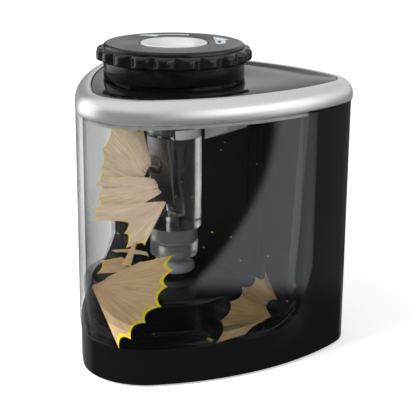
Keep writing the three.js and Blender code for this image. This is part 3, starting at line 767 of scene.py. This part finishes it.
ground_steel = Finish("ground_steel")
strokes = ground_steel.noise(ground_steel.place((0.5, 3, 9)), 1.5, 3.0)
ground_steel.skin(
    Base_Color=ground_steel.blend(strokes.step(0.3, 0.7), (0.42, 0.43, 0.44), (0.66, 0.66, 0.66)),
    Metallic=1.0, Roughness=0.22 + 0.14 * strokes, Normal=ground_steel.bump(strokes, 0.15, 0.00005),
)
BLADE_HALF_WIDTH = 4.1
blade = plain_block("cutter_blade", (-BLADE_HALF_WIDTH, -1.2, -12), (BLADE_HALF_WIDTH, -0.3, 8.5))
soften(blade, 0.15, 2)
on_flat(blade)
dress(blade, ground_steel, "cutter", ["blade"])
screw = turned("blade_screw_head", [(0, -0.3), (1.3, -0.3), (1.3, 0.9), (2.9, 0.9), (2.9, 1.3)]
               + [(2.9 * math.cos(math.radians(a)), 1.3 + 1.1 * math.sin(math.radians(a)))
                  for a in range(15, 91, 15)],
               48, (0, 0))
slot_tool = plain_block("slot_tool", (-3.5, -0.35, 1.7), (3.5, 0.35, 3.0))
cut(screw, slot_tool)
on_blade = Matrix.Translation(Vector((-2.2, -0.35, 0)) * MM)
screw.data.transform(on_blade @ Matrix.Rotation(math.radians(90), 4, "X"))
on_flat(screw)
dress(screw, ground_steel, "cutter", ["blade_screw"])

cup = turned("clear_cup", [(0, 28.6), (3.2, 28.6), (3.2, 25.4), (6.4, 25.4), (7.0, 25.7), (7.2, 26.3),
                           (7.2, 34.3), (5.9, 34.3), (5.9, 30.2), (5.2, 29.6), (0, 29.6)], 72)
dress(cup, frosted_plastic, "cutter", ["cutter_cup"], 40)

nylon = Finish("white_nylon")
nylon.skin(Base_Color=(0.78, 0.79, 0.76), Roughness=0.42 + 0.1 * nylon.noise(nylon.place(), 0.8, 2.0),
           Subsurface_Weight=0.15, Subsurface_Radius=(0.002, 0.002, 0.002),
           Normal=nylon.bump(nylon.noise(nylon.place(), 3.0, 2.0), 0.08, 0.0001))
guide = sector("pencil_guide", 4.3, 8.0, GUIDE_LOW + 0.1, GUIDE_HIGH, GUIDE_START, GUIDE_SWEEP)
soften(guide, 0.35, 3)
dress(guide, nylon, "cutter", ["guide_bush"])
collar = turned("carrier_collar_ring", [(8.3, 65.5), (8.5, 65.3), (9.0, 65.3), (9.3, 65.6), (9.3, 69.4),
                                        (8.3, 69.4), (8.3, 65.5)], 96)
dress(collar, satin_black, "cutter", ["carrier_collar"])

grey_nylon = Finish("grey_nylon")
grey_nylon.skin(Base_Color=(0.50, 0.53, 0.54),
                Roughness=0.38 + 0.1 * grey_nylon.noise(grey_nylon.place(), 0.9, 2.0),
                Subsurface_Weight=0.2, Subsurface_Radius=(0.002, 0.002, 0.002),
                Normal=grey_nylon.bump(grey_nylon.noise(grey_nylon.place(), 1.5, 2.0), 0.2, 0.0002))
dog = turned("drive_coupling", [(0, 20.6), (5.8, 20.6), (6.2, 21.0), (6.2, 22.4), (5.9, 23.1), (5.0, 23.8),
                                (3.4, 24.0), (2.9, 24.2), (2.9, 26.9), (0, 26.9)], 64)
dress(dog, grey_nylon, "drive", ["drive_dog"])

# ---------------------------------------------------------------------------------------------
# Bin: smoke-tinted clear polystyrene. One wall follows the case outline from parting edge to
# parting edge, and the tray inside it is a U that passes round the raised gearbox cover.
# ---------------------------------------------------------------------------------------------
smoky = Finish("smoky_polystyrene")
scuff = smoky.noise(smoky.place((1, 1, 0.3)), 0.5, 5.0, 0.7)
facing = smoky.node("ShaderNodeLayerWeight", {}, {"Blend": 0.5}, out="Facing")
mirror = 0.042 + 0.6 * facing ** 5.0
smoke = 0.145 + 0.10 * facing * facing
cover_share = mirror + smoke * (1 - mirror)
smoky.skin(
    Base_Color=smoky.blend(mirror / cover_share, (0.0, 0.0, 0.0), (0.92, 0.97, 1.0)),
    Metallic=1.0,
    Roughness=0.02 + 0.05 * scuff.step(0.55, 0.8),
    Alpha=cover_share,
)
BIN_PROUD = 0.35
BIN_WALL = 1.6
BIN_TOP = 73.4
BIN_BOTTOM = 11.3
bin_edge_y = PARTING_Y - 0.3
bin_outer = insert_edge(case_outline(-BIN_PROUD), bin_edge_y)
bin_inner = case_outline(BIN_WALL)


def bin_sill(y, lift=0.0):
    return window_sill(y, BIN_BOTTOM + lift, WINDOW_CORNER_R - 0.3 - lift, bin_edge_y - lift)


def bin_place(column, j):
    x, y = bin_outer[column]
    sill = bin_sill(y)
    if j in (2, 3):
        x, y = bin_inner[column]
    return x, y, (sill, BIN_TOP, BIN_TOP, sill)[j]


bin_run = front_run(bin_outer, bin_edge_y)
bin_wall = strip("bin_wall", bin_run, bin_place, 4)
soften(bin_wall, 0.3, 2, 60)
dress(bin_wall, smoky, "bin", ["bin_shell"], 15)

TRAY_FLOOR = 1.5
TRAY_LIP_TOP = 18.5
TRAY_SLOT_R = 26.0
TRAY_LIP = 1.2
tray_edge = insert_edge(case_outline(BIN_WALL - 0.2), bin_edge_y)


def tray_place(column, j):
    x, y = tray_edge[column]
    sill = bin_sill(y)
    lip = max(TRAY_LIP_TOP, sill + TRAY_FLOOR)
    if j > 1:
        x, y = arch_point(x, y, TRAY_SLOT_R + (TRAY_LIP if j < 4 else 0))
    return x, y, (sill, sill + TRAY_FLOOR, sill + TRAY_FLOOR, lip, lip, sill)[j]


tray = strip("bin_tray", front_run(tray_edge, bin_edge_y), tray_place, 6)
soften(tray, 0.2, 2, 60)
dress(tray, smoky, "bin", angle=15)

# A low rib runs inside the wall, a little way in from its edge.
RIB_IN = 3.0
RIB_SIZE = 0.8
RIB_ROOT, RIB_FACE = BIN_WALL - 0.1, BIN_WALL + 0.7
rib_edge_y = bin_edge_y - RIB_IN
rib_rings = {inset: insert_edge(insert_edge(case_outline(inset), rib_edge_y), rib_edge_y - RIB_SIZE)
             for inset in (RIB_ROOT, RIB_FACE)}


def rib_place(column, j):
    y = rib_rings[RIB_ROOT][column][1]
    sill = bin_sill(min(y, rib_edge_y), RIB_IN)
    top = BIN_TOP - 1 if y > rib_edge_y - RIB_SIZE - 0.1 else sill + RIB_SIZE
    x, y = rib_rings[RIB_ROOT if j in (0, 1) else RIB_FACE][column]
    return x, y, (sill, top, top, sill)[j]


bin_rib = strip("bin_rib", front_run(rib_rings[RIB_ROOT], rib_edge_y), rib_place, 4)
dress(bin_rib, smoky, "bin", angle=30)

# ---------------------------------------------------------------------------------------------
# Shavings: loose cedar curls in the bin. Each is a thin cone-shaped fan with a scalloped edge that
# still carries the pencil's yellow paint, and grain that runs out from its point.
# ---------------------------------------------------------------------------------------------
def shaving_wood(name, pale_wood, dark_wood, paint_from):
    """Cedar whose paint starts at this share of the way out, with lead dust near the point."""
    wood = Finish(name)
    fibres = wood.noise(wood.place((70, 2.5, 1), coordinates="UV"), 1.0, 4.0, 0.65)
    blotch = wood.noise(wood.place((5, 3, 1), coordinates="UV"), 1.0, 3.0)
    specks = wood.noise(wood.place((30, 8, 1), coordinates="UV"), 1.0, 3.0)
    reach = wood.node("ShaderNodeSeparateXYZ", {}, {0: wood.place(coordinates="UV")}, out="Y")
    paint = (reach + 0.03 * fibres + 0.10 * (blotch - 0.5)).step(paint_from, paint_from + 0.012)
    lead = (1 - reach.step(0.03, 0.14)) * specks.step(0.5, 0.6)
    timber = wood.blend(fibres.step(0.3, 0.72), dark_wood, pale_wood)
    timber = wood.blend(blotch.step(0.45, 0.75) * 0.35, timber, dark_wood)
    painted = wood.blend(paint, timber, (0.82, 0.66, 0.02))
    wood.skin(
        Base_Color=wood.blend(lead, painted, (0.02, 0.02, 0.02)),
        Roughness=0.75 - 0.25 * paint,
        Subsurface_Weight=0.1, Subsurface_Radius=(0.001, 0.0008, 0.0005),
        Normal=wood.bump(fibres, 0.5, 0.00012),
    )
    return wood


MID = Vector((*HEAD, 45.0))
PER_SCALLOP = 14
SHAVING_ROWS = 16
SHAVING_THICKNESS = 0.22


def shaving(name, finish, point, stations, lean=(0.0, 0.0), folds=2.0, fold_height=1.2, curl=0.0,
            bite=1.5):
    """A fan about a point; places are to the right, up and near from the cutter's middle.

    Each station is a tip of the scalloped edge: its bearing, and where the fan starts and ends.
    """
    total = PER_SCALLOP * (len(stations) - 1)

    def place(i, j):
        k = min(i // PER_SCALLOP, len(stations) - 2)
        share = i / PER_SCALLOP - k
        heading, start, end = (a + (b - a) * share for a, b in zip(stations[k], stations[k + 1]))
        end -= bite * math.sin(math.pi * share) ** 0.7
        out = j / SHAVING_ROWS
        reach = start + (end - start) * out
        side, rise = reach * math.cos(math.radians(heading)), reach * math.sin(math.radians(heading))
        near = point[2] + lean[0] * side + lean[1] * rise
        near += fold_height * out * math.sin(2 * math.pi * folds * i / total) + curl * out * out
        return MID + (point[0] + side) * right + (point[1] + rise) * up + near * back

    piece = shaped_grid(name, total, SHAVING_ROWS, place, closed=False)
    modify(piece, "SOLIDIFY", thickness=SHAVING_THICKNESS * MM, offset=0)
    dress(piece, finish, "bin", angle=60)
    return piece


pale_cedar = shaving_wood("pale_cedar", (0.86, 0.71, 0.54), (0.58, 0.44, 0.30), 0.985)
warm_cedar = shaving_wood("warm_cedar", (0.74, 0.55, 0.33), (0.50, 0.34, 0.17), 0.955)
# A darker copy of the cedar with no paint: painted shade for the curl that lies low on the right.
shaded_cedar = shaving_wood("shaded_cedar", (0.36, 0.25, 0.12), (0.20, 0.13, 0.05), 1.2)

shaving("shaving_top", pale_cedar, (-4.6, 0.1, 12.4),
        [(103, 7.5, 18.0), (114, 6.5, 20.0), (126, 5.5, 22.6), (143, 5.0, 20.0), (158, 5.0, 17.5),
         (176, 4.0, 18.0)],
        lean=(0.08, -0.12), folds=1.5, fold_height=0.7, bite=1.2)
shaving("shaving_middle", pale_cedar, (-0.2, 1.0, 14.0),
        [(158, 5.5, 7.0), (166, 4.5, 13.0), (175, 4.0, 21.5), (188, 4.0, 22.0), (202, 3.5, 24.0),
         (211, 3.5, 14.0)],
        lean=(0.14, 0.0), folds=1.2, fold_height=1.0, curl=-0.8, bite=1.4)
shaving("shaving_low", pale_cedar, (-1.6, -3.2, 15.0),
        [(184, 0.8, 22.0), (194, 0.6, 22.6), (206, 0.5, 13.6), (217, 0.5, 15.5), (229, 0.5, 18.0),
         (243, 0.6, 14.3)],
        lean=(0.16, -0.05), folds=1.0, fold_height=0.8, curl=-0.5, bite=1.6)
shaving("shaving_strip", warm_cedar, (-9.4, -12.0, 16.5),
        [(242, 3.2, 10.4), (256, 3.4, 10.2)], folds=0.5, fold_height=0.2, bite=0.3)
shaving("shaving_curl", pale_cedar, (-4.0, -24.5, 12.0),
        [(118, 6.0, 7.6), (138, 9.0, 11.2), (152, 14.0, 15.4)], folds=0.5, fold_height=0.6, bite=0.4)
shaving("shaving_ledge", warm_cedar, (-8.0, -23.0, 14.0),
        [(150, 5.0, 7.8), (168, 5.0, 12.6), (184, 6.0, 13.6)], folds=1.0, fold_height=0.6, bite=0.8)
shaving("shaving_large", warm_cedar, (-22.6, -26.6, 21.5),
        [(24, 5.0, 15.0), (19, 4.0, 24.2), (9.5, 1.5, 23.2), (-2, 0.8, 21.4), (-17, 0.6, 20.6),
         (-33, 0.6, 18.6), (-50, 0.6, 18.4), (-62, 0.8, 18.6)],
        lean=(-0.10, -0.78), folds=1.4, fold_height=0.7, bite=2.0)
# This curl takes the darker copy of the cedar, so its darkness is painted shade.
shaving("shaving_right", shaded_cedar, (32.2, -37.4, 17.0),
        [(112, 6.6, 15.0), (124, 7.4, 15.2), (142, 7.2, 15.8), (160, 4.4, 17.0), (178, 6.5, 18.6),
         (195, 12.0, 20.6)],
        lean=(-0.25, -0.35), folds=2.5, fold_height=0.9, bite=1.6)

# ---------------------------------------------------------------------------------------------
# Crumbs of paint and lead: two large ones, and a few dozen small ones scattered in the bin. Each is
# given to the right, up and near from the cutter's middle, then by half its length.
# ---------------------------------------------------------------------------------------------
random.seed(7)
crumb_paint = Finish("paint_crumbs")
patches = crumb_paint.noise(crumb_paint.place(), 1.0, 1.0)
crumb_paint.skin(
    Base_Color=crumb_paint.blend(patches.step(0.4, 0.6), (0.75, 0.60, 0.03), (0.70, 0.35, 0.04)),
    Roughness=0.6,
)
SMALL_CRUMBS = 26
crumbs = [(36.0, -27.8, 10.5, 1.1), (10.7, -42.0, 22.5, 0.8)]
crumbs += [(random.uniform(-20, 34), random.uniform(-34, 14), random.uniform(12, 15),
            random.uniform(0.14, 0.3)) for _ in range(SMALL_CRUMBS)]
for k, (side, rise, near, size) in enumerate(crumbs):
    middle = MID + side * right + rise * up + near * back
    half = Vector((size, size * 0.5, size * 0.45))
    crumb = plain_block(f"paint_crumb_{k + 1}", middle - half, middle + half)
    dress(crumb, crumb_paint, "bin")

# ---------------------------------------------------------------------------------------------
# Inner pieces and small hardware keep their frame shapes. Each takes the finish of its slot, and the
# chamber wall is matt.
# ---------------------------------------------------------------------------------------------
rubber = Finish("rubber")
rubber.skin(Base_Color=(0.012, 0.012, 0.012), Roughness=0.75,
            Normal=rubber.bump(rubber.noise(rubber.place(), 2.0, 3.0), 0.3, 0.0002))
grey_abs = Finish("light_grey_abs")
grey_abs.skin(Base_Color=(0.52, 0.54, 0.53),
              Roughness=0.4 + 0.1 * grey_abs.noise(grey_abs.place(), 0.7, 2.0),
              Normal=grey_abs.bump(grey_abs.noise(grey_abs.place(), 4.0, 2.0), 0.1, 0.0001))
brass = Finish("brass")
brass.skin(Base_Color=(0.62, 0.46, 0.18), Metallic=1.0,
           Roughness=0.25 + 0.15 * brass.noise(brass.place(), 1.5, 3.0))
cell_sleeve = Finish("cell_sleeve")
height = cell_sleeve.node("ShaderNodeSeparateXYZ", {}, {0: cell_sleeve.place()}, out="Z")
band = height.step(58.0, 58.3)
cell_sleeve.skin(Base_Color=cell_sleeve.blend(band, (0.02, 0.07, 0.16), (0.60, 0.42, 0.16)), Metallic=0.6,
                 Roughness=0.25 + 0.1 * cell_sleeve.noise(cell_sleeve.place(), 0.4, 2.0))
motor_plate = Finish("motor_plating")
motor_plate.skin(Base_Color=(0.55, 0.56, 0.57), Metallic=1.0,
                 Roughness=0.3 + 0.15 * motor_plate.noise(motor_plate.place(), 0.6, 3.0))

SLOT_FINISH = {
    "gloss_black": gloss_black, "satin_black": satin_black, "silver": silver_paint, "smoky_clear": smoky,
    "clear": clear_plastic, "light_grey": grey_abs, "white_nylon": nylon, "grey_nylon": grey_nylon,
    "steel": ground_steel, "brass": brass, "rubber": rubber, "motor_case": motor_plate,
    "cell_wrap": cell_sleeve,
}
for entry in frame["record"]["subparts"]:
    node = frame["nodes"][entry["node"]]
    node.data.materials.clear()
    finish = matt_black if entry["node"] == "chamber_wall" else SLOT_FINISH[entry["material_slot"]]
    node.data.materials.append(finish.material)
